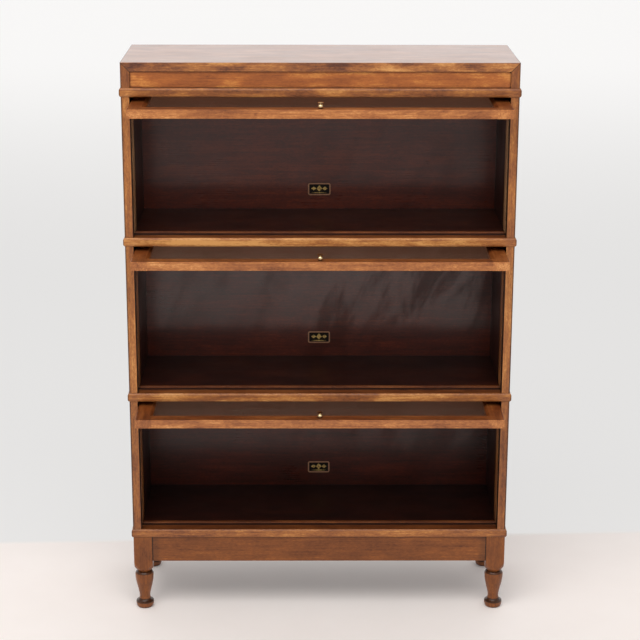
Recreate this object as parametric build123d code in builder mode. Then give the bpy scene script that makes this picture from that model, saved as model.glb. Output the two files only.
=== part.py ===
from build123d import *
import os

# Barrister bookcase: a leg base, three stacked sections with lift-and-slide
# glass doors, and a box cap. Millimetres, +Z up, the front faces -Y.
# The origin is on the floor, under the middle of the whole outline with the
# doors as they rest: lifted level and pushed back, so that they stick out.

# ---- driving dimensions -------------------------------------------------
CASE_WIDTH = 864.0
CASE_DEPTH = 280.0
BASE_HEIGHT = 203.0
SECTION_HEIGHTS = {"lower": 333.0, "middle": 363.0, "upper": 333.0}
CAP_HEIGHT = 55.0
DOOR_PROTRUSION = 96.0          # how far a resting door sticks out of the case

# case boards
SIDE_THICKNESS = 19.0
EDGE_EASE = 1.0                 # softened long edges of the show wood
RAIL_HEIGHT = 20.0              # the moulded rails between the sections
RAIL_WIDTH = 30.0
RAIL_PROUD = 3.5                # how far the nose stands out
NOSE_ROUND = 6.0                # height of the round at the nose's top and foot
BACK_THICKNESS = 8.0
BACK_INSET = 5.0                # back panel in from the back edge of the sides
BACK_LAP = 8.0                  # how far the panel laps onto each side
PANEL_PLAY = 0.5
FLOOR_THICKNESS = 10.0
FLOOR_RISE = 4.0                # floor top over the rail below it
FLOOR_TONGUE = 6.0
NEST_PLAY = 0.5
BEAD_HEIGHT = 3.0
BEAD_DEPTH = 10.0
BEAD_EASE = 1.0
LINING_THICKNESS = 1.2
LINING_DEPTH = 39.0
LINING_BELOW_RAIL = 44.0

# doors
DOOR_THICKNESS = 19.6
DOOR_SIDE_PLAY = 1.75
DOOR_INSET = 5.5                # face of a closed door behind the case front
DOOR_TOP_GAP = 4.3              # over a closed door
DOOR_BOTTOM_GAP = 5.5           # under a closed door
DOOR_OPEN_GAP = 10.5            # over a level door
STILE_WIDTH = 36.0
DOOR_RAIL_WIDTH = 35.0
STICKING = 6.0                  # bevel round the glass on the outer face
GLASS_LIP = 9.0
GLASS_THICKNESS = 3.0
GLASS_LAP = 7.0
GLASS_REBATE = 8.0
GLASS_BEAD_WIDTH = 7.8
GLASS_BEAD_HEIGHT = 5.6
TENON_LENGTH = 18.0
TENON_WIDTH = 20.0
TENON_THICKNESS = 6.0
MORTISE_PLAY = 0.2
TENON_FROM_SIGHT = 10.0
DOOR_EASE = 0.8

# lift-and-slide gear
PIVOT_FROM_TOP = 16.0           # pin axis from the top edge of the door
PIN_RADIUS = 3.0
PIN_SEAT_DEPTH = 15.0
PIN_SEAT_PLAY = 0.02
ROLLER_RADIUS = 7.8
ROLLER_BORE_PLAY = 0.05
ROLLER_INNER = 0.5              # roller face out from the inner face of the side
ROLLER_WIDTH = 6.4
ROLLER_EASE = 0.6
GROOVE_DEPTH = 8.0
GROOVE_PLAY = 0.3
REAR_STOP_GAP = 4.0             # door to back panel, pushed right in

# knob
KNOB_FROM_EDGE = 17.5
KNOB_STUD_RADIUS = 2.0
KNOB_STUD_LENGTH = 12.0
KNOB_STUD_PLAY = 0.05
# turned outline, each point as (radius, height over the door)
KNOB_FOOT = (4.4, 0.0)
KNOB_BEAD = (5.9, 4.4)
KNOB_NECK = (2.9, 9.2)
KNOB_THROAT = (2.9, 10.2)
KNOB_HEAD_LOW = (6.4, 11.8)
KNOB_RIM = (7.0, 12.5)
KNOB_HEIGHT = 14.0

# blank plates on the back panels
PLATE_WIDTH = 53.0
PLATE_HEIGHT = 29.0
PLATE_THICKNESS = 1.2
PLATE_CORNER = 5.0
PLATE_BORDER = 3.0
PLATE_RECESS = 0.4
PLATE_OVER_RAIL = 52.0          # plate centre over the rail below the section

# back panel screws
SCREW_RADIUS = 1.6
SCREW_HEAD_RADIUS = 3.6
SCREW_HEAD_HEIGHT = 2.0
SCREW_LENGTH = 18.0
SCREW_PLAY = 0.1
SCREW_SLOT = 0.9
SCREW_SLOT_DEPTH = 0.8
SCREW_FROM_EDGE = 4.0           # from the inner face of the side
SCREW_LOW = 45.0
SCREW_TOP = 80.0

# cap
CAP_BOARD = 19.5
CAP_PANEL_RECESS = 5.0
CAP_PANEL_THICKNESS = 16.0

# base
LEG_BLOCK = 43.0
LEG_INSET = 0.0
LEG_BLOCK_BOTTOM = 121.0
LEG_EASE = 1.5                  # softened upright edges of the block
LEG_CORNER_RADIUS = 30.2        # turned radius just inside the block's corners
# turned outline below the block, each point as (radius, height)
SHOULDER_MIDDLE = (24.6, 104.5)
SHOULDER = (16.5, 93.5)
NECK = (15.0, 91.5)
CUP_RIM = (18.0, 90.0)
CUP_SHOULDER = (20.6, 86.5)
CUP = (21.4, 80.5)
VASE_MIDDLE = (19.2, 62.0)
VASE_LOW = (14.4, 41.0)
ANKLE = (12.4, 27.0)
COVE_TOP = (13.2, 22.5)
COVE_MIDDLE = (15.6, 18.3)
FOOT_RIM = (20.2, 15.5)
FOOT_BULGE = (20.7, 11.0)
FOOT_LOW = (19.6, 5.5)
FOOT_ROUND = (18.4, 1.9)
FOOT_BOTTOM = (15.8, 0.0)
APRON_HEIGHT = 61.0
APRON_THICKNESS = 19.0
APRON_INSET = 2.5               # apron face behind the face of the leg block
APRON_EASE = 1.0                # softened bottom edges

# ---- worked out from them ----------------------------------------------
FRONT = (DOOR_PROTRUSION - CASE_DEPTH) / 2      # y of the front of the sides
BACK = FRONT + CASE_DEPTH
HALF_WIDTH = CASE_WIDTH / 2
INNER_X = HALF_WIDTH - SIDE_THICKNESS
NOSE_X = HALF_WIDTH + RAIL_PROUD
NOSE_Y = FRONT - RAIL_PROUD
RAIL_INNER_X = NOSE_X - RAIL_WIDTH
RAIL_BACK_Y = NOSE_Y + RAIL_WIDTH
PANEL_Y = BACK - BACK_INSET - BACK_THICKNESS    # face of the back panel
SECTION_NAMES = list(SECTION_HEIGHTS)
SECTION_BOTTOMS = {
    name: BASE_HEIGHT + sum(list(SECTION_HEIGHTS.values())[:i])
    for i, name in enumerate(SECTION_NAMES)
}
CASE_TOP = BASE_HEIGHT + sum(SECTION_HEIGHTS.values())
RAIL_BOTTOMS = [BASE_HEIGHT - RAIL_HEIGHT] + [
    SECTION_BOTTOMS[name] + SECTION_HEIGHTS[name] - RAIL_HEIGHT for name in SECTION_NAMES
]

DOOR_HALF_WIDTH = INNER_X - DOOR_SIDE_PLAY
DOOR_FRONT_Y = FRONT - DOOR_PROTRUSION
SIGHT_HALF_WIDTH = DOOR_HALF_WIDTH - STILE_WIDTH
CLOSED_AXIS_Y = FRONT + DOOR_INSET + DOOR_THICKNESS / 2
AXIS_BELOW_RAIL = DOOR_OPEN_GAP + DOOR_THICKNESS / 2
GROOVE_HEIGHT = 2 * (ROLLER_RADIUS + GROOVE_PLAY)
KNOB_DOME = KNOB_HEIGHT - KNOB_RIM[1]
KNOB_DOME_RADIUS = (KNOB_RIM[0]**2 + KNOB_DOME**2) / (2 * KNOB_DOME)
LEG_CENTRE = LEG_INSET + LEG_BLOCK / 2          # leg axis in from each case face
LEG_TOP = BASE_HEIGHT - RAIL_HEIGHT

os.makedirs("parts", exist_ok=True)


def save(part, name):
    """Labels a finished piece and writes it as its own STEP file."""
    part.label = name
    export_step(part, f"parts/{name}.step")


def slab(x_range, y_range, z_range, mode=Mode.ADD):
    """A straight board between two x, two y and two z positions."""
    with BuildSketch(Plane.XY.offset(z_range[0])) as outline:
        with Locations((sum(x_range) / 2, sum(y_range) / 2)):
            Rectangle(x_range[1] - x_range[0], y_range[1] - y_range[0])
    extrude(outline.sketch, amount=z_range[1] - z_range[0], mode=mode)


def sided(side, near, far):
    """An x range at a distance from the middle, on side -1 (left) or 1 (right)."""
    return sorted((side * near, side * far))


class Door:
    """Where a section's door lies at rest, and how far it can roll."""

    def __init__(self, section):
        rail_bottom = SECTION_BOTTOMS[section] + SECTION_HEIGHTS[section] - RAIL_HEIGHT
        opening = SECTION_HEIGHTS[section] - RAIL_HEIGHT
        self.height = opening - DOOR_TOP_GAP - DOOR_BOTTOM_GAP
        self.top = rail_bottom - DOOR_OPEN_GAP
        self.bottom = self.top - DOOR_THICKNESS
        self.front = DOOR_FRONT_Y
        self.rear = self.front + self.height
        self.sight_y = (self.front + DOOR_RAIL_WIDTH, self.rear - DOOR_RAIL_WIDTH)
        self.axis_y = self.rear - PIVOT_FROM_TOP
        self.axis_z = rail_bottom - AXIS_BELOW_RAIL
        self.travel_in = PANEL_Y - REAR_STOP_GAP - self.rear
        self.travel_out = self.axis_y - CLOSED_AXIS_Y


# ---- moulded rails -------------------------------------------------------
def nose_profile(plane):
    """Rail section: square at the back, a flat nose rounded above and below."""
    nose_top = RAIL_HEIGHT - NOSE_ROUND
    with BuildSketch(plane) as profile:
        with BuildLine():
            TangentArc((0, NOSE_ROUND), (RAIL_PROUD, 0), tangent=(0, -1))
            Line((0, NOSE_ROUND), (0, nose_top))
            TangentArc((0, nose_top), (RAIL_PROUD, RAIL_HEIGHT), tangent=(0, 1))
            Polyline(
                (RAIL_PROUD, RAIL_HEIGHT),
                (RAIL_WIDTH, RAIL_HEIGHT),
                (RAIL_WIDTH, 0),
                (RAIL_PROUD, 0),
            )
        make_face()
    return profile.sketch


def mitre(side, keeps_front):
    """Plane of a front corner's mitre, facing the rail that is kept."""
    facing = -1 if keeps_front else 1
    return Plane(origin=(side * NOSE_X, NOSE_Y, 0), z_dir=(side * facing, facing, 0))


def front_rail(z):
    """Front rail with a rounded nose, mitred at both ends."""
    left_end = Plane(origin=(-NOSE_X, NOSE_Y, z), x_dir=(0, 1, 0), z_dir=(1, 0, 0))
    with BuildPart() as rail:
        extrude(nose_profile(left_end), amount=2 * NOSE_X)
        split(bisect_by=mitre(-1, True), keep=Keep.TOP)
        split(bisect_by=mitre(1, True), keep=Keep.TOP)
    return rail.part


def side_rails(z):
    """The pair of side rails, mitred to the front rail."""
    back_end = Plane(origin=(-NOSE_X, BACK, z), x_dir=(1, 0, 0), z_dir=(0, -1, 0))
    with BuildPart() as rails:
        extrude(nose_profile(back_end), amount=BACK - NOSE_Y)
        split(bisect_by=mitre(-1, False), keep=Keep.TOP)
        mirror(about=Plane.YZ)
    return rails.part


def back_rails():
    """Plain rails that close the back of each rail frame, one per frame."""
    with BuildPart() as rails:
        for z in RAIL_BOTTOMS:
            slab((-RAIL_INNER_X, RAIL_INNER_X), (BACK - RAIL_WIDTH, BACK), (z, z + RAIL_HEIGHT))
    return rails.part


# ---- section boards --------------------------------------------------------
def screw_heights(section):
    """Heights of the back panel's screws up one side."""
    low = SECTION_BOTTOMS[section] + SCREW_LOW
    high = SECTION_BOTTOMS[section] + SECTION_HEIGHTS[section] - SCREW_TOP
    return [low, (low + high) / 2, high]


def screw_planes(sections, sides=(-1, 1)):
    """A plane at each back panel screw, facing out of the back."""
    screw_x = INNER_X + SCREW_FROM_EDGE
    screw_y = PANEL_Y + BACK_THICKNESS
    return [
        Plane(origin=(side * screw_x, screw_y, z), z_dir=(0, 1, 0))
        for section in sections
        for side in sides
        for z in screw_heights(section)
    ]


def side_board(section, side):
    """Side of a section: laps the back panel, sits over the floor's tongue,
    and is grooved near the top for the door's roller."""
    door = Door(section)
    bottom = SECTION_BOTTOMS[section]
    top = bottom + SECTION_HEIGHTS[section] - RAIL_HEIGHT
    groove_front = CLOSED_AXIS_Y - GROOVE_HEIGHT / 2
    groove_back = door.axis_y + door.travel_in + GROOVE_HEIGHT / 2
    with BuildPart() as board:
        slab(sided(side, INNER_X, HALF_WIDTH), (FRONT, BACK), (bottom, top))
        front_edges = board.edges().filter_by(Axis.Z).group_by(Axis.Y)[0]
        fillet(front_edges, radius=EDGE_EASE)
        # lap for the back panel
        slab(sided(side, INNER_X, INNER_X + BACK_LAP), (PANEL_Y, BACK), (bottom, top), Mode.SUBTRACT)
        # lap over the floor's tongue
        slab(
            sided(side, INNER_X, INNER_X + FLOOR_TONGUE + PANEL_PLAY),
            (RAIL_BACK_Y, BACK),
            (bottom, bottom + FLOOR_RISE),
            Mode.SUBTRACT,
        )
        # roller groove, closed at both ends
        with BuildSketch(
            Plane(
                origin=(side * INNER_X, (groove_front + groove_back) / 2, door.axis_z),
                x_dir=(0, 1, 0),
                z_dir=(side, 0, 0),
            )
        ):
            SlotOverall(groove_back - groove_front, GROOVE_HEIGHT)
        extrude(amount=GROOVE_DEPTH, mode=Mode.SUBTRACT)
        with Locations(*screw_planes([section], [side])):
            Hole(radius=SCREW_RADIUS + SCREW_PLAY, depth=SCREW_LENGTH + SCREW_PLAY)
    return board.part


def floor_board(section):
    """Floor of a section. Its tongues lie under the sides, and its underside
    nests in the open rail frame below, which keeps the stack in line."""
    bottom = SECTION_BOTTOMS[section]
    tongue_x = INNER_X + FLOOR_TONGUE
    nest_x = RAIL_INNER_X - NEST_PLAY
    with BuildPart() as board:
        slab((-tongue_x, tongue_x), (RAIL_BACK_Y, PANEL_Y), (bottom, bottom + FLOOR_RISE))
        slab(
            (-nest_x, nest_x),
            (RAIL_BACK_Y + NEST_PLAY, BACK - RAIL_WIDTH - NEST_PLAY),
            (bottom + FLOOR_RISE - FLOOR_THICKNESS, bottom),
        )
    return board.part


def back_panel(section):
    """Thin back, screwed into the laps of the sides."""
    bottom = SECTION_BOTTOMS[section]
    top = bottom + SECTION_HEIGHTS[section] - RAIL_HEIGHT
    half = INNER_X + BACK_LAP - PANEL_PLAY
    with BuildPart() as panel:
        slab((-half, half), (PANEL_Y, PANEL_Y + BACK_THICKNESS), (bottom, top))
        with Locations(*screw_planes([section])):
            CounterSinkHole(
                radius=SCREW_RADIUS + SCREW_PLAY,
                counter_sink_radius=SCREW_HEAD_RADIUS + SCREW_PLAY,
                depth=BACK_THICKNESS,
                counter_sink_angle=90,
            )
    return panel.part


def back_screws():
    """Slotted countersunk screws of the three back panels."""
    with BuildPart() as screws:
        with Locations(*screw_planes(SECTION_NAMES)):
            Cone(
                bottom_radius=SCREW_RADIUS,
                top_radius=SCREW_HEAD_RADIUS,
                height=SCREW_HEAD_HEIGHT,
                align=(Align.CENTER, Align.CENTER, Align.MAX),
            )
            Cylinder(
                radius=SCREW_RADIUS,
                height=SCREW_LENGTH,
                align=(Align.CENTER, Align.CENTER, Align.MAX),
            )
            Box(
                2 * SCREW_HEAD_RADIUS,
                SCREW_SLOT,
                SCREW_SLOT_DEPTH,
                align=(Align.CENTER, Align.CENTER, Align.MAX),
                mode=Mode.SUBTRACT,
            )
    return screws.part


def stop_beads():
    """Low beads on the front edges of the floors, which stop the closed doors."""
    half = INNER_X - LINING_THICKNESS - NEST_PLAY
    y_range = (RAIL_BACK_Y, RAIL_BACK_Y + BEAD_DEPTH)
    with BuildPart() as beads:
        for bottom in SECTION_BOTTOMS.values():
            floor_top = bottom + FLOOR_RISE
            slab((-half, half), y_range, (floor_top, floor_top + BEAD_HEIGHT))
            top_edges = beads.edges().filter_by(Axis.X).group_by(Axis.Z)[-1]
            fillet(top_edges, radius=BEAD_EASE)
    return beads.part


def side_linings():
    """Thin guide strips on the inner faces of the sides, two per section."""
    with BuildPart() as linings:
        for section, bottom in SECTION_BOTTOMS.items():
            top = bottom + SECTION_HEIGHTS[section] - RAIL_HEIGHT - LINING_BELOW_RAIL
            for side in (-1, 1):
                slab(
                    sided(side, INNER_X - LINING_THICKNESS, INNER_X),
                    (RAIL_BACK_Y, RAIL_BACK_Y + LINING_DEPTH),
                    (bottom + FLOOR_RISE, top),
                )
    return linings.part


def blank_plates():
    """Blank plates with a raised border, one on each back panel."""
    field_width = PLATE_WIDTH - 2 * PLATE_BORDER
    field_height = PLATE_HEIGHT - 2 * PLATE_BORDER
    with BuildPart() as plates:
        for bottom in SECTION_BOTTOMS.values():
            centre = (0, PANEL_Y, bottom + PLATE_OVER_RAIL)
            face = Plane(origin=centre, x_dir=(1, 0, 0), z_dir=(0, -1, 0))
            with BuildSketch(face):
                RectangleRounded(PLATE_WIDTH, PLATE_HEIGHT, PLATE_CORNER)
            extrude(amount=PLATE_THICKNESS)
            with BuildSketch(face.offset(PLATE_THICKNESS)):
                RectangleRounded(field_width, field_height, PLATE_CORNER - PLATE_BORDER)
            extrude(amount=-PLATE_RECESS, mode=Mode.SUBTRACT)
    return plates.part


# ---- doors -------------------------------------------------------------------
def cut_glazing(door):
    """Takes the bevel round the glass and the glass rebate out of a frame member."""
    centre_y = sum(door.sight_y) / 2
    sight = (2 * SIGHT_HALF_WIDTH, door.sight_y[1] - door.sight_y[0])
    outer_face = Plane(origin=(0, centre_y, door.top), x_dir=(1, 0, 0), z_dir=(0, 0, -1))
    inner_face = Plane(origin=(0, centre_y, door.bottom), x_dir=(1, 0, 0), z_dir=(0, 0, 1))
    with BuildSketch(outer_face) as bevel:
        Rectangle(sight[0] + 2 * STICKING, sight[1] + 2 * STICKING)
    extrude(bevel.sketch, amount=STICKING, taper=45, mode=Mode.SUBTRACT)
    with BuildSketch(outer_face) as opening:
        Rectangle(*sight)
    extrude(opening.sketch, amount=GLASS_LIP, mode=Mode.SUBTRACT)
    with BuildSketch(inner_face) as rebate:
        Rectangle(sight[0] + 2 * GLASS_REBATE, sight[1] + 2 * GLASS_REBATE)
    extrude(rebate.sketch, amount=DOOR_THICKNESS - GLASS_LIP, mode=Mode.SUBTRACT)


def tenon_y(door, end):
    """Y range of the tenons of the bottom rail (end 0) or the top rail (end 1)."""
    outward = -1 if end == 0 else 1
    near = door.sight_y[end] + outward * TENON_FROM_SIGHT
    return sorted((near, near + outward * TENON_WIDTH))


def tenon_z(door):
    """Z range of the tenons, in the middle of the door's thickness."""
    return (door.axis_z - TENON_THICKNESS / 2, door.axis_z + TENON_THICKNESS / 2)


def pin_plane(door, side, distance):
    """Plane on the pivot axis, at a distance from the middle, facing outward."""
    return Plane(origin=(side * distance, door.axis_y, door.axis_z), z_dir=(side, 0, 0))


def door_stiles(door):
    """The two upright members, mortised for the rails and bored for the pins."""
    y_range = (door.front, door.rear)
    z_range = (door.bottom, door.top)
    mortise_x = SIGHT_HALF_WIDTH + TENON_LENGTH + MORTISE_PLAY
    with BuildPart() as stiles:
        for side in (-1, 1):
            slab(sided(side, SIGHT_HALF_WIDTH, DOOR_HALF_WIDTH), y_range, z_range)
        long_edges = stiles.edges().filter_by(Axis.Y).group_by(Axis.X)
        fillet(long_edges[0] + long_edges[-1], radius=DOOR_EASE)
        cut_glazing(door)
        for side in (-1, 1):
            mortise = sided(side, SIGHT_HALF_WIDTH, mortise_x)
            for end in (0, 1):
                slab(mortise, tenon_y(door, end), tenon_z(door), Mode.SUBTRACT)
            with Locations(pin_plane(door, side, DOOR_HALF_WIDTH)):
                Hole(radius=PIN_RADIUS + PIN_SEAT_PLAY, depth=PIN_SEAT_DEPTH)
    return stiles.part


def door_rail(door, end):
    """Bottom rail (end 0) or top rail (end 1), with a tenon at each end."""
    y_range = (door.front, door.sight_y[0]) if end == 0 else (door.sight_y[1], door.rear)
    tenon_x = SIGHT_HALF_WIDTH + TENON_LENGTH
    with BuildPart() as rail:
        slab((-SIGHT_HALF_WIDTH, SIGHT_HALF_WIDTH), y_range, (door.bottom, door.top))
        outer_edges = rail.edges().filter_by(Axis.X).group_by(Axis.Y)[0 if end == 0 else -1]
        fillet(outer_edges, radius=DOOR_EASE)
        cut_glazing(door)
        slab((-tenon_x, tenon_x), tenon_y(door, end), tenon_z(door))
        if end == 0:
            with Locations(Plane(origin=(0, door.front + KNOB_FROM_EDGE, door.top))):
                Hole(radius=KNOB_STUD_RADIUS + KNOB_STUD_PLAY, depth=KNOB_STUD_LENGTH)
    return rail.part


def door_glass(door):
    """The pane, lying in the rebate."""
    half = SIGHT_HALF_WIDTH + GLASS_LAP
    y_range = (door.sight_y[0] - GLASS_LAP, door.sight_y[1] + GLASS_LAP)
    pane_top = door.top - GLASS_LIP
    with BuildPart() as glass:
        slab((-half, half), y_range, (pane_top - GLASS_THICKNESS, pane_top))
    return glass.part


def door_glass_beads(door):
    """Four strips that hold the pane in from behind."""
    outer_x = SIGHT_HALF_WIDTH + GLASS_REBATE
    outer_y = (door.sight_y[0] - GLASS_REBATE, door.sight_y[1] + GLASS_REBATE)
    top = door.top - GLASS_LIP - GLASS_THICKNESS
    z_range = (top - GLASS_BEAD_HEIGHT, top)
    with BuildPart() as beads:
        slab((-outer_x, outer_x), (outer_y[0], outer_y[0] + GLASS_BEAD_WIDTH), z_range)
        slab((-outer_x, outer_x), (outer_y[1] - GLASS_BEAD_WIDTH, outer_y[1]), z_range)
        for side in (-1, 1):
            slab(
                sided(side, outer_x - GLASS_BEAD_WIDTH, outer_x),
                (outer_y[0] + GLASS_BEAD_WIDTH + NEST_PLAY, outer_y[1] - GLASS_BEAD_WIDTH - NEST_PLAY),
                z_range,
            )
    return beads.part


def door_knob(door):
    """Small turned brass pull with a stud into the bottom rail."""
    axis_y = door.front + KNOB_FROM_EDGE
    with BuildPart() as knob:
        with BuildSketch(Plane(origin=(0, axis_y, door.top), x_dir=(1, 0, 0), z_dir=(0, -1, 0))):
            with BuildLine():
                Polyline(
                    (0, -KNOB_STUD_LENGTH),
                    (KNOB_STUD_RADIUS, -KNOB_STUD_LENGTH),
                    (KNOB_STUD_RADIUS, 0),
                    KNOB_FOOT,
                )
                ThreePointArc(KNOB_FOOT, KNOB_BEAD, KNOB_NECK)
                Polyline(KNOB_NECK, KNOB_THROAT, KNOB_HEAD_LOW, KNOB_RIM)
                RadiusArc(KNOB_RIM, (0, KNOB_HEIGHT), -KNOB_DOME_RADIUS)
                Line((0, KNOB_HEIGHT), (0, -KNOB_STUD_LENGTH))
            make_face()
        revolve(axis=Axis((0, axis_y, 0), (0, 0, 1)))
    return knob.part


def door_pivot_pins(door):
    """Steel pins seated in the stiles, on which the rollers turn."""
    length = PIN_SEAT_DEPTH + DOOR_SIDE_PLAY + ROLLER_INNER + ROLLER_WIDTH
    with BuildPart() as pins:
        for side in (-1, 1):
            with BuildSketch(pin_plane(door, side, DOOR_HALF_WIDTH - PIN_SEAT_DEPTH)):
                Circle(PIN_RADIUS)
            extrude(amount=length)
    return pins.part


def door_rollers(door):
    """Rollers that run in the grooves of the sides and carry the door."""
    with BuildPart() as rollers:
        for side in (-1, 1):
            with BuildSketch(pin_plane(door, side, INNER_X + ROLLER_INNER)):
                Circle(ROLLER_RADIUS)
                Circle(PIN_RADIUS + ROLLER_BORE_PLAY, mode=Mode.SUBTRACT)
            extrude(amount=ROLLER_WIDTH)
        rims = rollers.edges().filter_by(GeomType.CIRCLE).group_by(SortBy.RADIUS)[-1]
        chamfer(rims, length=ROLLER_EASE)
    return rollers.part


# ---- cap ---------------------------------------------------------------------
def cap_top_board():
    """Top of the cap, mitred to the two cap sides."""
    with BuildPart() as board:
        with BuildSketch(Plane(origin=(0, BACK, CASE_TOP), x_dir=(1, 0, 0), z_dir=(0, -1, 0))):
            with BuildLine():
                Polyline(
                    (-HALF_WIDTH, CAP_HEIGHT),
                    (HALF_WIDTH, CAP_HEIGHT),
                    (HALF_WIDTH - CAP_BOARD, CAP_HEIGHT - CAP_BOARD),
                    (CAP_BOARD - HALF_WIDTH, CAP_HEIGHT - CAP_BOARD),
                    close=True,
                )
            make_face()
        extrude(amount=CASE_DEPTH)
        top_edges = board.edges().filter_by(Axis.X).group_by(Axis.Y)[0]
        fillet(top_edges, radius=EDGE_EASE)
    return board.part


def cap_side(side):
    """Side of the cap, mitred to the top board."""
    with BuildPart() as board:
        with BuildSketch(Plane(origin=(0, BACK, CASE_TOP), x_dir=(1, 0, 0), z_dir=(0, -1, 0))):
            with BuildLine():
                Polyline(
                    (side * HALF_WIDTH, 0),
                    (side * HALF_WIDTH, CAP_HEIGHT),
                    (side * (HALF_WIDTH - CAP_BOARD), CAP_HEIGHT - CAP_BOARD),
                    (side * (HALF_WIDTH - CAP_BOARD), 0),
                    close=True,
                )
            make_face()
        extrude(amount=CASE_DEPTH)
        fillet(board.edges().filter_by(Axis.Z).group_by(Axis.Y)[0], radius=EDGE_EASE)
    return board.part


def cap_cross_board(y_range):
    """Board between the cap sides, under the top board."""
    half = HALF_WIDTH - CAP_BOARD
    with BuildPart() as board:
        slab((-half, half), y_range, (CASE_TOP, CASE_TOP + CAP_HEIGHT - CAP_BOARD))
    return board.part


# ---- base --------------------------------------------------------------------
def legs(y_axis):
    """A pair of legs: square blocks above, and a rounded shoulder, neck, vase
    and foot turned below them."""
    x_axis = HALF_WIDTH - LEG_CENTRE
    block_foot = (LEG_CORNER_RADIUS, LEG_BLOCK_BOTTOM)
    with BuildPart() as pair:
        with BuildSketch(Plane(origin=(-x_axis, y_axis, 0), x_dir=(1, 0, 0), z_dir=(0, -1, 0))):
            with BuildLine():
                Polyline((0, LEG_TOP), (LEG_CORNER_RADIUS, LEG_TOP), block_foot)
                ThreePointArc(block_foot, SHOULDER_MIDDLE, SHOULDER)
                Polyline(SHOULDER, NECK, CUP_RIM)
                ThreePointArc(CUP_RIM, CUP_SHOULDER, CUP)
                Spline(CUP, VASE_MIDDLE, VASE_LOW, ANKLE, tangents=[(0, -1), (0, -1)])
                Line(ANKLE, COVE_TOP)
                ThreePointArc(COVE_TOP, COVE_MIDDLE, FOOT_RIM)
                ThreePointArc(FOOT_RIM, FOOT_BULGE, FOOT_LOW)
                ThreePointArc(FOOT_LOW, FOOT_ROUND, FOOT_BOTTOM)
                Polyline(FOOT_BOTTOM, (0, 0), (0, LEG_TOP))
            make_face()
        revolve(axis=Axis((-x_axis, y_axis, 0), (0, 0, 1)))
        with BuildSketch(Plane.XY):
            with Locations((-x_axis, y_axis)):
                RectangleRounded(LEG_BLOCK, LEG_BLOCK, LEG_EASE)
        extrude(amount=LEG_TOP, mode=Mode.INTERSECT)
        mirror(about=Plane.YZ)
    return pair.part


def apron(x_range, y_range):
    """Board between two leg blocks, under the base rails."""
    with BuildPart() as board:
        slab(x_range, y_range, (LEG_TOP - APRON_HEIGHT, LEG_TOP))
        fillet(board.edges().filter_by(Axis.X).group_by(Axis.Z)[0], radius=APRON_EASE)
    return board.part


def side_aprons():
    """The two end aprons, between the front and rear leg blocks."""
    outer = HALF_WIDTH - LEG_INSET - APRON_INSET
    block = LEG_INSET + LEG_BLOCK
    with BuildPart() as aprons:
        for side in (-1, 1):
            slab(
                sided(side, outer - APRON_THICKNESS, outer),
                (FRONT + block, BACK - block),
                (LEG_TOP - APRON_HEIGHT, LEG_TOP),
            )
        fillet(aprons.edges().filter_by(Axis.Y).group_by(Axis.Z)[0], radius=APRON_EASE)
    return aprons.part


# ---- write every piece ---------------------------------------------------
def write_base():
    rail_z = RAIL_BOTTOMS[0]
    save(front_rail(rail_z), "base_front_rail")
    save(side_rails(rail_z), "base_side_rails")
    save(legs(FRONT + LEG_CENTRE), "front_legs")
    save(legs(BACK - LEG_CENTRE), "rear_legs")
    between_legs = HALF_WIDTH - LEG_INSET - LEG_BLOCK
    face = LEG_INSET + APRON_INSET
    x_range = (-between_legs, between_legs)
    save(apron(x_range, (FRONT + face, FRONT + face + APRON_THICKNESS)), "front_apron")
    save(apron(x_range, (BACK - face - APRON_THICKNESS, BACK - face)), "back_apron")
    save(side_aprons(), "side_aprons")


def write_section(section, rail_z):
    save(side_board(section, -1), f"{section}_side_left")
    save(side_board(section, 1), f"{section}_side_right")
    save(floor_board(section), f"{section}_floor_board")
    save(back_panel(section), f"{section}_back_panel")
    save(front_rail(rail_z), f"{section}_front_rail")
    save(side_rails(rail_z), f"{section}_side_rails")


def write_door(section):
    door = Door(section)
    save(door_stiles(door), f"{section}_door_stiles")
    save(door_rail(door, 0), f"{section}_door_bottom_rail")
    save(door_rail(door, 1), f"{section}_door_top_rail")
    save(door_glass(door), f"{section}_door_glass")
    save(door_glass_beads(door), f"{section}_door_glass_beads")
    save(door_knob(door), f"{section}_door_knob")
    save(door_pivot_pins(door), f"{section}_door_pivot_pins")
    save(door_rollers(door), f"{section}_door_rollers")
    print(
        f"{section} door: axis y {door.axis_y:.2f} z {door.axis_z:.2f}, "
        f"travel in {door.travel_in:.2f}, out {door.travel_out:.2f}, height {door.height:.2f}"
    )


def write_cap():
    save(cap_top_board(), "cap_top_board")
    save(cap_side(-1), "cap_side_left")
    save(cap_side(1), "cap_side_right")
    panel_y = FRONT + CAP_PANEL_RECESS
    save(cap_cross_board((panel_y, panel_y + CAP_PANEL_THICKNESS)), "cap_front_panel")
    save(cap_cross_board((BACK - CAP_PANEL_THICKNESS, BACK)), "cap_back_board")


write_base()
for section_name, section_rail_z in zip(SECTION_NAMES, RAIL_BOTTOMS[1:]):
    write_section(section_name, section_rail_z)
    write_door(section_name)
write_cap()
save(back_rails(), "back_rails")
save(stop_beads(), "stop_beads")
save(side_linings(), "side_linings")
save(blank_plates(), "blank_plates")
save(back_screws(), "back_screws")
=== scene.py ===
"""The looks of a three-section barrister bookcase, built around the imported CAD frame.

Lengths are in metres, in the row frame: +X to the right, +Y to the back, +Z up.
"""
import itertools
import math

import bmesh
import bpy
from mathutils import Matrix, Vector


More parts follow.
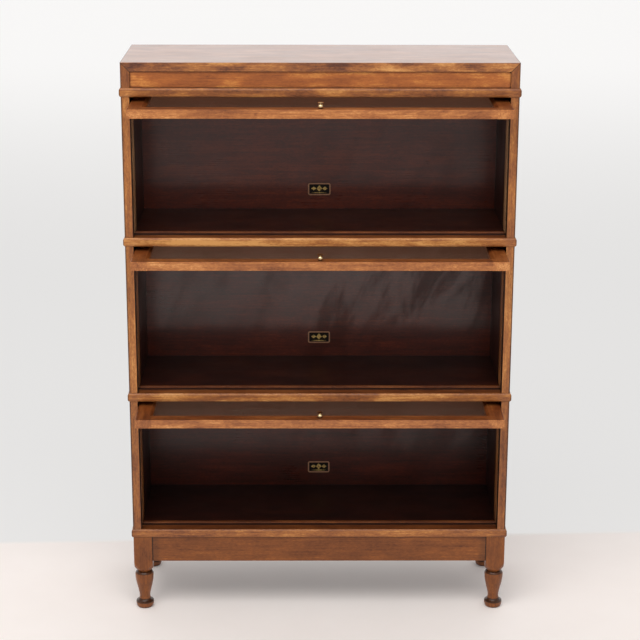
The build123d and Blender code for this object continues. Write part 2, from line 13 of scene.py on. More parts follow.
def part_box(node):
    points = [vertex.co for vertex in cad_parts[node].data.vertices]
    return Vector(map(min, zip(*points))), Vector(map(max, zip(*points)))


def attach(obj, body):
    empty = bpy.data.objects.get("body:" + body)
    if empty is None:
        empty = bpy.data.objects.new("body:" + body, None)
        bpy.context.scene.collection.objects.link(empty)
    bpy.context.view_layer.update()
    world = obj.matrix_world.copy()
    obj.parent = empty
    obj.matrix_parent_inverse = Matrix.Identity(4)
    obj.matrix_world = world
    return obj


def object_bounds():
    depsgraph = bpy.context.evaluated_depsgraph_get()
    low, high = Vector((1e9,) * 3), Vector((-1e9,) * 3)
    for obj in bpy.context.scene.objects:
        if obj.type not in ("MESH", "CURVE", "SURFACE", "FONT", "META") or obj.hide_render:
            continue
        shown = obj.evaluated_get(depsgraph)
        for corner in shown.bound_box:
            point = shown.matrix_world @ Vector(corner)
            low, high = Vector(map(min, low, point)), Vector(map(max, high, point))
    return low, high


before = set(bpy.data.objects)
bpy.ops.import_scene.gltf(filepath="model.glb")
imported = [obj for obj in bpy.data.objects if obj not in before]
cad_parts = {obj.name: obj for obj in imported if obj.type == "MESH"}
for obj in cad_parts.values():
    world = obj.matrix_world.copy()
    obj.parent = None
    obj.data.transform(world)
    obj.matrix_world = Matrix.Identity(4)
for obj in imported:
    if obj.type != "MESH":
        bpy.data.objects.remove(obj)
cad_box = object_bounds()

SECTIONS = ("lower", "middle", "upper")
MM = 0.001

# Brightness of the studio's sky, of the glow behind the case on top of it, of the floor itself,
# and of the sweep behind the case, near and far.
SKY = 0.55
BACK_GLOW = 0.85
FLOOR_GLOW = 0.06
NEAR_SWEEP_GLOW = 0.52
FAR_SWEEP_GLOW = 0.69

# Camera: placed in front of the case, a little left of its middle, looking slightly down.
CAMERA_PLACE = Vector((-0.0297, -3.9921, 1.8631))
CAMERA_YAW = 0.0077
CAMERA_PITCH = 0.2876
CAMERA_ROLL = 0.0024
CAMERA_LENS = 102.0
CAMERA_SENSOR = 36.0

# The plates on the back panels: how deep their fields lie, and the fields' middles over the
# panels' bottoms.
PLATE_RECESS = 0.4 * MM
PLATE_OVER_RAIL = 52 * MM
ORNAMENT_RISE = 0.35 * MM

# The studio floor, which turns into a cooler sweep behind the case. The line between the two
# is a little further back on the right than on the left.
SWEEP_GAP = 0.143
SWEEP_SLANT = 0.041
SWEEP_SOFTNESS = 14 * MM
FLOOR_HALF_SIZE = 40.0

# How light each section's boards are, from 0 to 1.
SIDE_LEVEL = {
    "left": {"upper": 0.51, "middle": 0.54, "lower": 0.34},
    "right": {"upper": 0.5, "middle": 0.58, "lower": 0.43},
}
RAIL_LEVEL = {"upper": 0.46, "middle": 0.74, "lower": 0.58}
DOOR_LEVEL = {"upper": 0.5, "middle": 0.44, "lower": 0.42}
# The insides get darker towards the lower section: painted shade on top of their stain.
INNER_STAIN_AND_SHADE_LEVEL = {"upper": 0.66, "middle": 0.56, "lower": 0.37}

# Each back panel: its varnish coat where it is glossy and where it is dull, how dark the dull
# clouds are, and how far they lean, in radians.
BACK_GLOSS = {"upper": 0.58, "middle": 0.86, "lower": 0.38}
BACK_DULL = {"upper": 0.45, "middle": 0.12, "lower": 0.1}
BACK_SMUDGE = {"upper": 0.15, "middle": 0.45, "lower": 0.2}
CLOUD_LEAN = -0.4

# Wear and painted shade: how far from an edge the stain is rubbed, and how deep in a corner dirt and
# painted shade gather.
RUBBED_WIDTH = 1.8 * MM
CORNER_DIRT_AND_SHADE_DEPTH = 4.5 * MM

# The dark turned rings on the legs, from and to which height.
FOOT_RING = (13 * MM, 22 * MM)
NECK_RING = (86 * MM, 91 * MM)


# ---------------------------------------------------------------- shader helpers


def srgb(red, green, blue):
    """A colour given as 0-255 display values, as the linear RGBA that Blender's sockets take."""

    def linear(value):
        share = value / 255
        return share / 12.92 if share <= 0.04045 else ((share + 0.055) / 1.055) ** 2.4

    return (linear(red), linear(green), linear(blue), 1.0)


class Graph:
    """A material's node tree, with a short method for each kind of node used here."""

    def __init__(self, tree):
        self.tree = tree
        tree.nodes.clear()

    def feed(self, socket, value):
        """Links an input socket to an output socket, or sets its value."""
        if isinstance(value, bpy.types.NodeSocket):
            self.tree.links.new(value, socket)
        else:
            socket.default_value = value

    def add(self, kind, inputs=None, **settings):
        """Adds a node, with its settings, and feeds its inputs, named or numbered."""
        node = self.tree.nodes.new("ShaderNode" + kind)
        for name, value in settings.items():
            setattr(node, name, value)
        for name, value in (inputs or {}).items():
            self.feed(node.inputs[name], value)
        return node

    def place(self):
        """The point being shaded, in the row frame at rest."""
        return self.add("TexCoord").outputs["Object"]

    def mapped(self, vector, scale=(1, 1, 1), turn=(0, 0, 0), shift=(0, 0, 0)):
        """A vector scaled, then turned, then shifted."""
        inputs = {"Vector": vector, "Scale": scale, "Rotation": turn, "Location": shift}
        return self.add("Mapping", inputs).outputs["Vector"]

    def noise(self, vector, detail, rough=0.5, distort=0.0):
        """A noise pattern from 0 to 1. The vector's own scale sets how fine it is."""
        inputs = {"Vector": vector, "Scale": 1.0, "Detail": detail, "Roughness": rough}
        inputs["Distortion"] = distort
        return self.add("TexNoise", inputs).outputs["Fac"]

    def math(self, operation, first, second=0.0, clamp=False):
        """A sum, product or other calculation with one or two values."""
        node = self.add("Math", {0: first, 1: second}, operation=operation, use_clamp=clamp)
        return node.outputs[0]

    def stretch(self, value, low, high, to_low=0.0, to_high=1.0):
        """The value's range low..high moved to to_low..to_high, with soft ends."""
        inputs = {"Value": value, "From Min": low, "From Max": high}
        inputs.update({"To Min": to_low, "To Max": to_high})
        return self.add("MapRange", inputs, interpolation_type="SMOOTHSTEP").outputs[0]

    def weighted(self, start, parts):
        """start plus each part's distance from one half, times its weight."""
        total = start
        for value, weight in parts:
            centred = self.math("SUBTRACT", value, 0.5)
            total = self.math("ADD", total, self.math("MULTIPLY", centred, weight))
        return total

    def mix(self, factor, first, second):
        """A blend of two colours. A Mix node keeps its colours at inputs 6 and 7, output 2."""
        node = self.add("Mix", {0: factor, 6: first, 7: second}, data_type="RGBA")
        return node.outputs[2]

    def ramp(self, value, colours):
        """A smooth run through evenly spaced colours, as value goes from 0 to 1."""
        node = self.add("ValToRGB", {"Fac": value})
        stops = node.color_ramp.elements
        for index, colour in enumerate(colours):
            position = index / (len(colours) - 1)
            stop = stops[index] if index < 2 else stops.new(position)
            stop.position = position
            stop.color = colour
        return node.outputs["Color"]

    def edges(self, radius):
        """How near the point is to a sharp outer edge: 0 away from it, 1 on it."""
        rounded = self.add("Bevel", {"Radius": radius}, samples=4).outputs["Normal"]
        flat = self.add("NewGeometry").outputs["Normal"]
        cosine = self.add("VectorMath", {0: rounded, 1: flat}, operation="DOT_PRODUCT")
        return self.stretch(cosine.outputs["Value"], 0.99, 0.8)

    def corners(self, distance):
        """How deep the point lies in a corner or seam: 0 in the open, 1 deep inside."""
        node = self.add("AmbientOcclusion", {"Distance": distance}, samples=6)
        return self.stretch(node.outputs["AO"], 0.92, 0.45)

    def bump(self, height, distance, strength):
        """A normal that follows a height pattern, with that distance between 0 and 1."""
        inputs = {"Height": height, "Distance": distance, "Strength": strength}
        return self.add("Bump", inputs).outputs["Normal"]

    def surface(self, shader):
        """Makes a shader the material's surface."""
        self.add("OutputMaterial", {"Surface": shader})


def new_material(name):
    """A new node material and its empty graph."""
    material = bpy.data.materials.new(name)
    material.use_nodes = True
    return material, Graph(material.node_tree)


# ---------------------------------------------------------------- wood

# Each tone: colours from the darkest streak to the lightest, and the colour of rubbed edges.
TONES = {
    "case": {
        "colours": (srgb(80, 43, 30), srgb(132, 78, 44), srgb(172, 109, 56), srgb(212, 152, 88)),
        "rubbed": srgb(212, 154, 100),
    },
    "panel": {
        "colours": (srgb(108, 58, 32), srgb(152, 85, 42), srgb(178, 104, 50), srgb(216, 146, 74)),
        "rubbed": srgb(206, 138, 80),
    },
    "door": {
        "colours": (srgb(104, 58, 34), srgb(150, 90, 50), srgb(184, 118, 66), srgb(222, 162, 102)),
        "rubbed": srgb(220, 162, 106),
    },
    # The door's shaded copy: painted shade for the door frame's outer faces.
    "stile": {
        "colours": (srgb(72, 32, 14), srgb(106, 52, 22), srgb(132, 72, 32), srgb(166, 104, 56)),
        "rubbed": srgb(178, 118, 70),
    },
    "top": {
        "colours": (srgb(118, 74, 52), srgb(132, 84, 58), srgb(142, 92, 64), srgb(158, 106, 76)),
        "rubbed": srgb(206, 150, 106),
    },
    "base": {
        "colours": (srgb(70, 35, 16), srgb(106, 57, 25), srgb(137, 78, 34), srgb(176, 110, 52)),
        "rubbed": srgb(190, 130, 80),
    },
    "inner": {
        "colours": (srgb(38, 10, 2), srgb(60, 16, 4), srgb(80, 24, 6), srgb(106, 40, 12)),
        "rubbed": srgb(116, 66, 36),
    },
    "dark": {
        "colours": (srgb(20, 6, 4), srgb(32, 10, 6), srgb(46, 17, 9), srgb(62, 27, 15)),
        "rubbed": srgb(84, 44, 22),
    },
    # A dark tone: the stop beads' own dark stain, and painted shade on the ledges and glass beads.
    "ledge_stain_and_shade": {
        "colours": (srgb(58, 26, 10), srgb(90, 44, 18), srgb(116, 62, 26), srgb(142, 84, 42)),
        "rubbed": srgb(132, 84, 48),
    },
    # A light tone for the upper linings: painted light.
    "lining": {
        "colours": (srgb(120, 82, 54), srgb(166, 120, 80), srgb(200, 154, 108), srgb(224, 182, 136)),
        "rubbed": srgb(206, 158, 110),
    },
}
# Near-black for dark marks: dirt, dark joints and rings, and painted shade in seams and corners.
DARK_MARK_AND_SHADE = srgb(20, 10, 7)

# The turn that brings each grain direction to the texture's own X.
GRAIN_TURNS = {
    "x": (0, 0, 0),
    "y": (0, 0, -math.pi / 2),
    "z": (0, math.pi / 2, 0),
}


def wood_figure(graph, grain, seed, level, blotch, ripple, contrast):
    """The wood's pattern from 0 (dark) to 1 (light), its fine lines and its pores."""
    shift = (seed * 0.37, seed * 0.71, seed * 0.53)
    point = graph.mapped(graph.place(), turn=GRAIN_TURNS[grain], shift=shift)
    bend = graph.noise(graph.mapped(point, (3, 8, 8)), detail=1)
    streaks = graph.noise(graph.mapped(point, (6, 110, 110)), 3, 0.6, 0.3)
    feather = graph.add("CombineXYZ", {"X": graph.math("MULTIPLY", streaks, 0.05)}).outputs[0]
    feathered = graph.add("VectorMath", {0: point, 1: feather}, operation="ADD").outputs[0]
    flames = graph.noise(graph.mapped(feathered, (11, 30, 30), turn=(0, 0.5, 0.5)), 3, 0.55, 0.4)
    lines = graph.noise(graph.mapped(point, (9, 420, 420)), 3, 0.65, 0.2)
    ripples = graph.noise(graph.mapped(feathered, (150, 45, 45), turn=(0, 0.3, 0.4)), 3, 0.6, 1.0)
    flecks = graph.noise(graph.mapped(point, (110, 300, 300)), 3, 0.65, 0.6)
    pores = graph.noise(graph.mapped(point, (150, 1100, 1100)), 2, 0.6)
    parts = [
        (graph.stretch(flames, 0.3, 0.7), blotch),
        (bend, 0.4 * contrast),
        (streaks, 0.7 * contrast),
        (lines, 0.75 * contrast),
        (ripples, ripple),
        (flecks, 0.8 * contrast),
        (pores, 0.5 * contrast),
    ]
    return graph.weighted(level, parts), pores, lines


# A mask is a function that adds its nodes to a graph and returns a value from 0 to 1.


def along(graph, axis):
    """One coordinate of the point being shaded."""
    return graph.add("SeparateXYZ", {"Vector": graph.place()}).outputs[axis]


def height_band(low, high):
    """A mask that is 1 between two heights, with an edge a millimetre soft."""

    def mask(graph):
        above = graph.stretch(along(graph, "Z"), low - 1 * MM, low + 1 * MM)
        below = graph.stretch(along(graph, "Z"), high + 1 * MM, high - 1 * MM)
        return graph.math("MULTIPLY", above, below)

    return mask


def beyond(axis, start, end):
    """A mask that goes from 0 to 1 as a coordinate, whatever its sign, goes from start to end."""

    def mask(graph):
        distance = graph.math("ABSOLUTE", along(graph, axis))
        return graph.stretch(distance, start, end)

    return mask


def mitre_line(corner_x, corner_z):
    """A mask on the thin slanting joint that runs down and in from the cap's outer corners."""

    def mask(graph):
        inward = graph.math("SUBTRACT", corner_x, graph.math("ABSOLUTE", along(graph, "X")))
        down = graph.math("SUBTRACT", corner_z, along(graph, "Z"))
        off_line = graph.math("ABSOLUTE", graph.math("SUBTRACT", inward, down))
        return graph.stretch(off_line, 1.6 * MM, 0.5 * MM)

    return mask


def outer_arris(corner_x, front_y):
    """A mask on the thin strip of a side board's front edge beside its outer corner."""

    def mask(graph):
        outward = graph.math("ABSOLUTE", along(graph, "X"))
        near_corner = graph.stretch(outward, corner_x - 3.6 * MM, corner_x - 1.8 * MM)
        on_front = graph.stretch(along(graph, "Y"), front_y + 4 * MM, front_y + 2 * MM)
        return graph.math("MULTIPLY", near_corner, on_front)

    return mask


def rubbed_edges(graph, seed):
    """Where the stain is rubbed off the outer edges, 0 to 1."""
    patches = graph.noise(graph.mapped(graph.place(), (42, 42, 42), shift=(seed, 0, 0)), 3, 0.65)
    worn = graph.math("MULTIPLY", graph.edges(RUBBED_WIDTH), graph.stretch(patches, 0.38, 0.62))
    return graph.math("MULTIPLY", worn, 0.6)


def corner_dirt_and_shade(graph):
    """Where seams and corners are darkened, 0 to 1: dirt and old wax, and painted shade in the
    seams.
    """
    patches = graph.noise(graph.mapped(graph.place(), (70, 70, 70)), 2, 0.6)
    uneven = graph.stretch(patches, 0.2, 0.7, 0.55, 0.9)
    return graph.math("MULTIPLY", graph.corners(CORNER_DIRT_AND_SHADE_DEPTH), uneven)


def dull_clouds(graph):
    """A mask of slanting clouds where a back panel is dull, most of them on its right."""
    slanted = graph.mapped(graph.place(), turn=(0, CLOUD_LEAN, 0), shift=(2.3, 0, 0))
    clouds = graph.noise(graph.mapped(slanted, (13, 13, 5)), 4, 0.6, 0.3)
    on_right = graph.stretch(along(graph, "X"), -0.16, 0.14, 0.45, 1.0)
    return graph.math("MULTIPLY", graph.stretch(clouds, 0.6, 0.34), on_right)


def cloudy_varnish(glossy, dull, outer_y, bottom):
    """A back panel's coat, from glossy to dull in clouds.

    It is a little weaker near the panel's bottom. The outer face, at outer_y, has none.
    """

    def coat(graph):
        inner_face = graph.stretch(along(graph, "Y"), outer_y - 0.2 * MM, outer_y - 1.0 * MM)
        left_on = graph.stretch(along(graph, "Z"), bottom + 80 * MM, bottom + 260 * MM, 0.72, 1.0)
        present = graph.math("MULTIPLY", inner_face, left_on)
        clouded = graph.stretch(dull_clouds(graph), 0.0, 1.0, glossy, dull)
        return graph.math("MULTIPLY", clouded, present)

    return coat


def wood_colour(graph, tone, figure, rubbed, other_tones, marks):
    """The colour of stained wood, from its figure, its rubbed edges and its masks, darkened in
    corners by dirt and painted shade.
    """
    colour = graph.ramp(figure, TONES[tone]["colours"])
    colour = graph.mix(rubbed, colour, TONES[tone]["rubbed"])
    for mask, other in other_tones:
        colour = graph.mix(mask(graph), colour, graph.ramp(figure, TONES[other]["colours"]))
    for mask, strength in marks:
        colour = graph.mix(graph.math("MULTIPLY", mask(graph), strength), colour, DARK_MARK_AND_SHADE)
    # Corners and seams are darkened: dirt, and painted shade.
    return graph.mix(corner_dirt_and_shade(graph), colour, DARK_MARK_AND_SHADE)


def wood(name, tone, grain, seed, level=0.5, blotch=0.4, ripple=0.25, contrast=1.0, rough=0.38,
         coat=0.12, cloud=0.3, other_tones=(), marks=()):
    """Old stained and varnished wood.

    level is how light it is, from 0 to 1. other_tones pairs masks with tones, and marks pairs
    masks with the strength of a dark mark there. coat is a number, or a mask.
    """
    material, graph = new_material(name)
    figure, pores, lines = wood_figure(graph, grain, seed, level, blotch, ripple, contrast)
    rubbed = rubbed_edges(graph, seed)
    colour = wood_colour(graph, tone, figure, rubbed, other_tones, marks)
    polish = graph.noise(graph.mapped(graph.place(), (9, 9, 9), shift=(0, seed, 0)), 3, 0.6)
    roughness = graph.weighted(rough, [(polish, cloud), (lines, 0.12)])
    roughness = graph.math("ADD", roughness, graph.math("MULTIPLY", rubbed, 0.2), clamp=True)
    relief = graph.math("ADD", graph.math("MULTIPLY", pores, 0.35), lines)
    waves = graph.noise(graph.mapped(graph.place(), (14, 14, 14)), 1, 0.4)
    shader = graph.add("BsdfPrincipled", {
        "Base Color": colour,
        "Roughness": roughness,
        "Normal": graph.bump(relief, 0.12 * MM, 0.45),
        "Specular IOR Level": 0.3,
        "Coat Weight": coat(graph) if callable(coat) else coat,
        "Coat Roughness": 0.16,
        "Coat Normal": graph.bump(waves, 1.2 * MM, 0.5),
    })
    graph.surface(shader.outputs["BSDF"])
    return material


# ---------------------------------------------------------------- metal, glass, enamel


def brass():
    """Worn brass with brown tarnish in the hollows."""
    material, graph = new_material("old_brass")
    place = graph.place()
    cloud = graph.noise(graph.mapped(place, (180, 180, 180)), 4, 0.6)
    scratches = graph.noise(graph.mapped(place, (2500, 2500, 500)), 2, 0.6)
    tarnish = graph.stretch(graph.math("ADD", cloud, graph.corners(2 * MM)), 0.5, 1.1)
    colour = graph.mix(tarnish, srgb(238, 216, 168), srgb(96, 70, 38))
    shader = graph.add("BsdfPrincipled", {
        "Base Color": colour,
        "Metallic": 1.0,
        "Roughness": graph.weighted(0.2, [(cloud, 0.2), (scratches, 0.1)]),
        "Normal": graph.bump(scratches, 0.03 * MM, 0.4),
    })
    graph.surface(shader.outputs["BSDF"])
    return material


def steel():
    """Dull steel with rust spots."""
    material, graph = new_material("dull_steel")
    place = graph.place()
    spots = graph.noise(graph.mapped(place, (420, 420, 420)), 4, 0.65)
    rust = graph.stretch(spots, 0.5, 0.66)
    shader = graph.add("BsdfPrincipled", {
        "Base Color": graph.mix(rust, srgb(150, 146, 140), srgb(92, 52, 30)),
        "Metallic": graph.stretch(rust, 0.2, 0.9, 1.0, 0.15),
        "Roughness": graph.weighted(0.42, [(spots, 0.5)]),
        "Normal": graph.bump(spots, 0.08 * MM, 0.6),
    })
    graph.surface(shader.outputs["BSDF"])
    return material


def enamel():
    """Black enamel on thin metal, with a raised rim that is rubbed to a dull tan."""
    material, graph = new_material("black_enamel")
    mottle = graph.noise(graph.mapped(graph.place(), (260, 260, 260)), 3, 0.6)
    black = graph.mix(mottle, srgb(8, 5, 4), srgb(24, 16, 12))
    tan = graph.mix(mottle, srgb(122, 84, 64), srgb(186, 140, 110))
    rim_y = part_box("blank_plates")[0].y
    rim = graph.stretch(along(graph, "Y"), rim_y + 0.3 * MM, rim_y + 0.1 * MM)
    shader = graph.add("BsdfPrincipled", {
        "Base Color": graph.mix(rim, black, tan),
        "Roughness": graph.weighted(0.5, [(mottle, 0.3)]),
        "Specular IOR Level": 0.15,
        "Normal": graph.bump(mottle, 0.05 * MM, 0.4),
    })
    graph.surface(shader.outputs["BSDF"])
    return material


def gilt():
    """Dull gilt paint, thin and darkened in patches."""
    material, graph = new_material("dull_gilt")
    patches = graph.noise(graph.mapped(graph.place(), (320, 320, 320)), 3, 0.65)
    worn = graph.stretch(patches, 0.35, 0.65)
    shader = graph.add("BsdfPrincipled", {
        "Base Color": graph.mix(worn, srgb(128, 98, 42), srgb(216, 182, 104)),
        "Roughness": graph.weighted(0.45, [(patches, 0.4)]),
        "Normal": graph.bump(patches, 0.04 * MM, 0.5),
    })
    graph.surface(shader.outputs["BSDF"])
    return material


def glass():
    """Old wavy window glass with a film of dust. At flat angles it glows a warm brown: a painted
    glow for the light its dust scatters and the dark brown inside it reflects.

    It is clear to lamps and to light that comes off other surfaces.
    """
    material, graph = new_material("old_glass")
    place = graph.place()
    smears = graph.noise(graph.mapped(place, (14, 30, 14)), 4, 0.6, 0.8)
    waves = graph.noise(graph.mapped(place, (6, 11, 6)), 1, 0.4)
    flatness = graph.add("LayerWeight", {"Blend": 0.5}).outputs["Facing"]
    sheet = graph.add("BsdfPrincipled", {
        "Base Color": graph.mix(smears, srgb(246, 234, 222), srgb(222, 196, 172)),
        "Roughness": graph.stretch(smears, 0.4, 0.8, 0.0, 0.02),
        "Normal": graph.bump(waves, 0.8 * MM, 0.25),
        "IOR": 1.5,
        "Transmission Weight": 0.99,
        "Specular IOR Level": 0.3,
        # Painted glow: a warm brown emission, strongest where the glass is seen at a flat angle.
        "Emission Color": srgb(176, 118, 88),
        "Emission Strength": graph.stretch(flatness, 0.45, 0.85, 0.005, 0.112),
    })
    clear = graph.add("BsdfTransparent", {"Color": (0.93, 0.95, 0.93, 1.0)})
    path = graph.add("LightPath").outputs
    room_ray = graph.math("MAXIMUM", path["Is Shadow Ray"], path["Is Diffuse Ray"])
    both = graph.add("MixShader", {0: room_ray, 1: sheet.outputs["BSDF"], 2: clear.outputs[0]})
    graph.surface(both.outputs[0])
    return material


# ---------------------------------------------------------------- finishes on the CAD nodes

finish_seeds = itertools.count(1)


def finish(node, material):
    """Gives a CAD node its material."""
    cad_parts[node].material_slots[0].material = material


def finish_wood(node, tone, grain, **looks):
    """Gives a CAD node wood of its own, so that no two boards share a figure."""
    finish(node, wood(node + "_wood", tone, grain, next(finish_seeds), **looks))


def finish_cap():
    """The cap's boards, with mitres at its front corners and a calm, glossy top."""
    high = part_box("cap_top_board")[1]
    mitre = mitre_line(high.x, high.z)
    top_face = beyond("Z", high.z - 1.0 * MM, high.z - 0.2 * MM)
    finish_wood("cap_top_board", "case", "x", blotch=0.75, rough=0.36, coat=0.44, cloud=0.14,
                other_tones=[(top_face, "top")], marks=[(mitre, 0.8)])
    arris = outer_arris(high.x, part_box("cap_side_right")[0].y)
    for side in ("left", "right"):
        finish_wood("cap_side_" + side, "case", "z", level=0.42, blotch=0.25, contrast=0.6,
                    marks=[(mitre, 0.8), (arris, 0.4)])
    finish_wood("cap_front_panel", "panel", "x", level=0.56, blotch=0.5, contrast=0.8)
    finish_wood("cap_back_board", "inner", "x", coat=0.0, rough=0.6)


def finish_front_rail(node, level, blotch=0.45):
    """A moulded rail with dark tips. Behind the nose, its top face is painted darker: painted shade,
    and a painted reflection of the dark inside.
    """
    case_front = abs(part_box("lower_side_left")[0].y)
    behind_nose = beyond("Y", case_front + 1.5 * MM, case_front)
    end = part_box(node)[1].x
    tips = beyond("X", end - 3.0 * MM, end - 1.2 * MM)
    finish_wood(node, "case", "x", level=level, blotch=blotch, marks=[(tips, 0.6)],
                other_tones=[(behind_nose, "ledge_stain_and_shade")])


def finish_section(section):
    """A section's fixed boards. The sides' inner faces take a near-black tone: a dark stain, and
    painted shade.
    """
    side_low, side_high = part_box(section + "_side_right")
    # The inner faces: dark stain, and painted shade.
    inner_face = beyond("X", side_low.x + 1.0 * MM, side_low.x + 0.2 * MM)
    arris = outer_arris(side_high.x, side_low.y)
    for side in ("left", "right"):
        finish_wood(section + "_side_" + side, "case", "z", level=SIDE_LEVEL[side][section],
                    blotch=0.25, other_tones=[(inner_face, "dark")], marks=[(arris, 0.7)])
    finish_front_rail(section + "_front_rail", RAIL_LEVEL[section])
    finish_wood(section + "_side_rails", "case", "y")
    # Painted shade: the inside is darker the lower the section.
    inner_stain_and_shade = INNER_STAIN_AND_SHADE_LEVEL[section]
    finish_wood(section + "_floor_board", "dark", "x", level=inner_stain_and_shade, rough=0.42)
    panel = section + "_back_panel"
    panel_low, panel_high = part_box(panel)
    varnish = cloudy_varnish(BACK_GLOSS[section], BACK_DULL[section], panel_high.y, panel_low.z)
    finish_wood(panel, "inner", "x", level=inner_stain_and_shade, blotch=0.2, ripple=0.1, rough=0.32,
                coat=varnish, marks=[(dull_clouds, BACK_SMUDGE[section])])


def finish_door(section, fittings):
    """The door frame's outer faces take a darker, redder tone than its front edges: painted shade,
    as under the overhanging rail.
    """
    door = section + "_door_"
    level = DOOR_LEVEL[section]
    front = abs(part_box(door + "stiles")[0].y)
    front_edge = [(beyond("Y", front - 1.0 * MM, front - 0.2 * MM), "door")]
    finish_wood(door + "stiles", "stile", "y", level=level + 0.06, other_tones=front_edge)
    finish_wood(door + "bottom_rail", "stile", "x", level=level, ripple=0.5, other_tones=front_edge)
    finish_wood(door + "top_rail", "stile", "x", level=level)
    # The glass beads take the dark ledge tone as painted shade beside the stiles.
    finish_wood(door + "glass_beads", "ledge_stain_and_shade", "x", level=0.5)
    finish(door + "glass", fittings["glass"])
    finish(door + "knob", fittings["brass"])
    finish(door + "pivot_pins", fittings["steel"])
    finish(door + "rollers", fittings["steel"])


def finish_base():
    """The base, with dark rings on the legs, and painted shade at the aprons' ends where they meet
    the legs.
    """
    rings = [(height_band(*FOOT_RING), 0.8), (height_band(*NECK_RING), 0.7)]
    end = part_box("front_apron")[1].x
    # Painted shade at the aprons' ends: a thin dark line by the leg block and a wider, fainter band.
    apron_end_shade = [
        (beyond("X", end - 2.2 * MM, end - 1.4 * MM), 0.9),
        (beyond("X", end - 22 * MM, end - 8 * MM), 0.3),
    ]
    finish_front_rail("base_front_rail", 0.48, blotch=0.3)
    finish_wood("base_side_rails", "case", "y")
    finish_wood("front_legs", "base", "z", blotch=0.25, contrast=0.7, marks=rings)
    finish_wood("rear_legs", "base", "z", blotch=0.25, contrast=0.7, marks=rings)
    finish_wood("front_apron", "base", "x", blotch=0.2, contrast=0.8, marks=apron_end_shade)
    finish_wood("back_apron", "base", "x", blotch=0.2, marks=apron_end_shade)
    finish_wood("side_aprons", "base", "y", blotch=0.2)


def finish_inside(fittings):
    """The small pieces in and behind the sections. The upper linings are painted in a light tone:
    painted light, for the light they catch.
    """
    finish_wood("back_rails", "inner", "x", coat=0.0, rough=0.6)
    finish_wood("stop_beads", "ledge_stain_and_shade", "x")
    upper_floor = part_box("upper_side_left")[0].z
    upper_painted_light = beyond("Z", upper_floor - 1 * MM, upper_floor + 1 * MM)
    finish_wood("side_linings", "case", "z", level=0.45, other_tones=[(upper_painted_light, "lining")])
    finish("blank_plates", fittings["enamel"])
    finish("back_screws", fittings["steel"])


# ---------------------------------------------------------------- pieces made here


def mesh_piece(name, mesh_bm, material):
    """A new object in the scene from a bmesh, which is freed."""
    mesh = bpy.data.meshes.new(name)
    mesh_bm.normal_update()
    mesh_bm.to_mesh(mesh)
    mesh_bm.free()
    mesh.materials.append(material)
    piece = bpy.data.objects.new(name, mesh)
    bpy.context.scene.collection.objects.link(piece)
    return piece


def diamond(centre_x, centre_z, half_width, half_height):
    """Outline of a diamond, as (x, z) points, anticlockwise as seen from the front."""
    return [
        (centre_x - half_width, centre_z),
        (centre_x, centre_z - half_height),
        (centre_x + half_width, centre_z),
        (centre_x, centre_z + half_height),
    ]


def add_prism(mesh_bm, outline, back_y, front_y):
    """Adds a solid between two depths. Its outline runs anticlockwise as seen from the front."""
    back = [mesh_bm.verts.new((x, back_y, z)) for x, z in outline]
    front = [mesh_bm.verts.new((x, front_y, z)) for x, z in outline]
    mesh_bm.faces.new(front)
    mesh_bm.faces.new(back[::-1])
    for index in range(len(outline)):
        following = (index + 1) % len(outline)
        mesh_bm.faces.new((back[index], back[following], front[following], front[index]))


def plate_ornament(section, metal):
    """A thin gilt ornament of diamonds on a section's plate. It carries no lettering."""
    outlines = [
        diamond(0, 1.5 * MM, 6.5 * MM, 7.5 * MM),
        diamond(-13 * MM, 1.5 * MM, 6.0 * MM, 4.5 * MM),
        diamond(13 * MM, 1.5 * MM, 6.0 * MM, 4.5 * MM),
        diamond(0, -8.5 * MM, 18 * MM, 1.1 * MM),
    ]
    face_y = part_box("blank_plates")[0].y + PLATE_RECESS
    middle_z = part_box(section + "_back_panel")[0].z + PLATE_OVER_RAIL
    bm = bmesh.new()
    for outline in outlines:
        raised = [(x, middle_z + z) for x, z in outline]
        add_prism(bm, raised, face_y, face_y - ORNAMENT_RISE)
    piece = mesh_piece(section + "_plate_ornament", bm, metal)
    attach(piece, "case")


# ---------------------------------------------------------------- studio


def floor_material():
    """Pale warm floor that turns into a cooler sweep behind the case, brighter further off."""
    material, graph = new_material("studio_floor")
    place = graph.place()
    depth = along(graph, "Y")
    slant = graph.math("MULTIPLY", along(graph, "X"), SWEEP_SLANT)
    line = cad_box[1].y + SWEEP_GAP
    past_line = graph.math("SUBTRACT", depth, slant)
    sweep = graph.stretch(past_line, line - SWEEP_SOFTNESS, line + SWEEP_SOFTNESS)
    mottle = graph.noise(graph.mapped(place, (3, 3, 3)), 4, 0.6)
    floor = graph.mix(mottle, srgb(239, 231, 227), srgb(249, 243, 240))
    glow = graph.stretch(depth, 2.5, 9.0, NEAR_SWEEP_GLOW, FAR_SWEEP_GLOW)
    paint = graph.add("BsdfPrincipled", {
        "Base Color": graph.mix(sweep, floor, srgb(124, 124, 124)),
        "Roughness": 0.8,
        "Emission Color": (1.0, 0.99, 0.98, 1.0),
        "Emission Strength": graph.math("ADD", graph.math("MULTIPLY", sweep, glow), FLOOR_GLOW),
    })
    graph.surface(paint.outputs["BSDF"])
    return material


def studio_floor():
    """One large flat floor for the case to stand on."""
    bm = bmesh.new()
    bmesh.ops.create_grid(bm, x_segments=4, y_segments=4, size=FLOOR_HALF_SIZE)
    floor = mesh_piece("studio_floor", bm, floor_material())


def softbox(name, place, target, size, radiance, tint=(1.0, 1.0, 1.0)):
    """A rectangular soft light of the given brightness, turned to its target."""
    lamp = bpy.data.lights.new(name, "AREA")
    lamp.shape = "RECTANGLE"
    lamp.size, lamp.size_y = size
    lamp.energy = radiance * math.pi * size[0] * size[1]
    lamp.color = tint
    box = bpy.data.objects.new(name, lamp)
    box.location = place
    box.rotation_mode = "QUATERNION"
    box.rotation_quaternion = (Vector(target) - Vector(place)).to_track_quat("-Z", "Y")
    box.visible_camera = False
    bpy.context.scene.collection.objects.link(box)


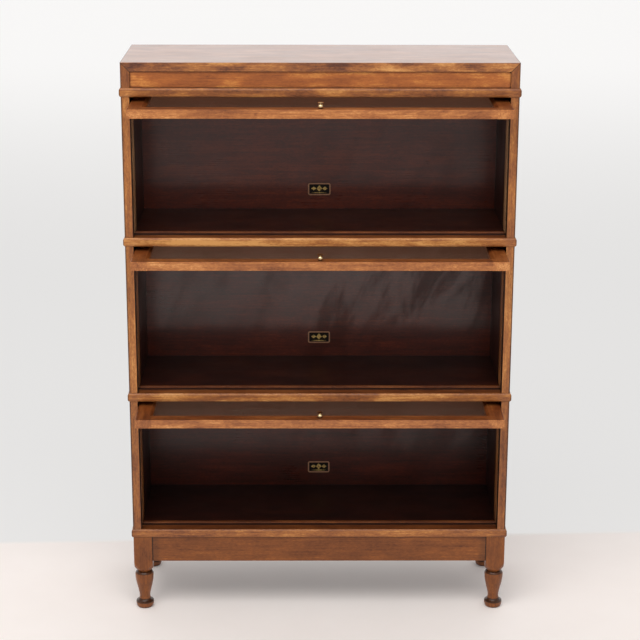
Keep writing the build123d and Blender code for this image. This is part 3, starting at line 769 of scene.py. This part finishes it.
def studio_world():
    """Even pale light, with a brighter band low behind the case for the cap's gloss."""
    world = bpy.data.worlds.new("studio")
    world.use_nodes = True
    bpy.context.scene.world = world
    graph = Graph(world.node_tree)
    direction = graph.add("TexCoord").outputs["Generated"]
    axes = graph.add("SeparateXYZ", {"Vector": direction}).outputs
    behind = graph.stretch(axes["Y"], 0.3, 0.8)
    low = graph.stretch(axes["Z"], 0.75, 0.35)
    band = graph.math("MULTIPLY", behind, low)
    strength = graph.math("ADD", graph.math("MULTIPLY", band, BACK_GLOW), SKY)
    sky = graph.add("Background", {"Color": (1.0, 0.99, 0.982, 1.0), "Strength": strength})
    graph.add("OutputWorld", {"Surface": sky.outputs[0]})


def studio_lights():
    """A warm key light high in front, and a weak fill light on the right."""
    softbox("key_light", place=(-0.5, -2.2, 3.6), target=(0.0, -0.2, 0.0), size=(3.6, 2.2),
            radiance=3.6, tint=(1.0, 0.98, 0.95))
    softbox("fill_light", place=(2.0, -3.2, 2.0), target=(0.0, 0.0, 0.65), size=(2.0, 2.0),
            radiance=0.6)


def photo_camera():
    """The camera, from its place, yaw, downward pitch and roll."""
    data = bpy.data.cameras.new("camera")
    data.lens = CAMERA_LENS
    data.sensor_width = CAMERA_SENSOR
    camera = bpy.data.objects.new("camera", data)
    bpy.context.scene.collection.objects.link(camera)
    level = math.cos(CAMERA_PITCH)
    sideways = math.sin(CAMERA_YAW)
    forwards = math.cos(CAMERA_YAW)
    ahead = Vector((sideways * level, forwards * level, -math.sin(CAMERA_PITCH)))
    right = Vector((forwards, -sideways, 0.0))
    up = right.cross(ahead)
    turn = Matrix.Rotation(-CAMERA_ROLL, 3, ahead)
    axes = Matrix((turn @ right, turn @ up, -ahead)).transposed()
    camera.matrix_world = Matrix.Translation(CAMERA_PLACE) @ axes.to_4x4()
    bpy.context.scene.camera = camera


def main():
    fittings = {
        "brass": brass(),
        "steel": steel(),
        "enamel": enamel(),
        "gilt": gilt(),
        "glass": glass(),
    }
    finish_cap()
    for section in SECTIONS:
        finish_section(section)
        finish_door(section, fittings)
    finish_base()
    finish_inside(fittings)
    for section in SECTIONS:
        plate_ornament(section, fittings["gilt"])
    studio_floor()
    studio_world()
    studio_lights()
    photo_camera()
    bpy.context.scene.view_settings.view_transform = "Standard"


main()
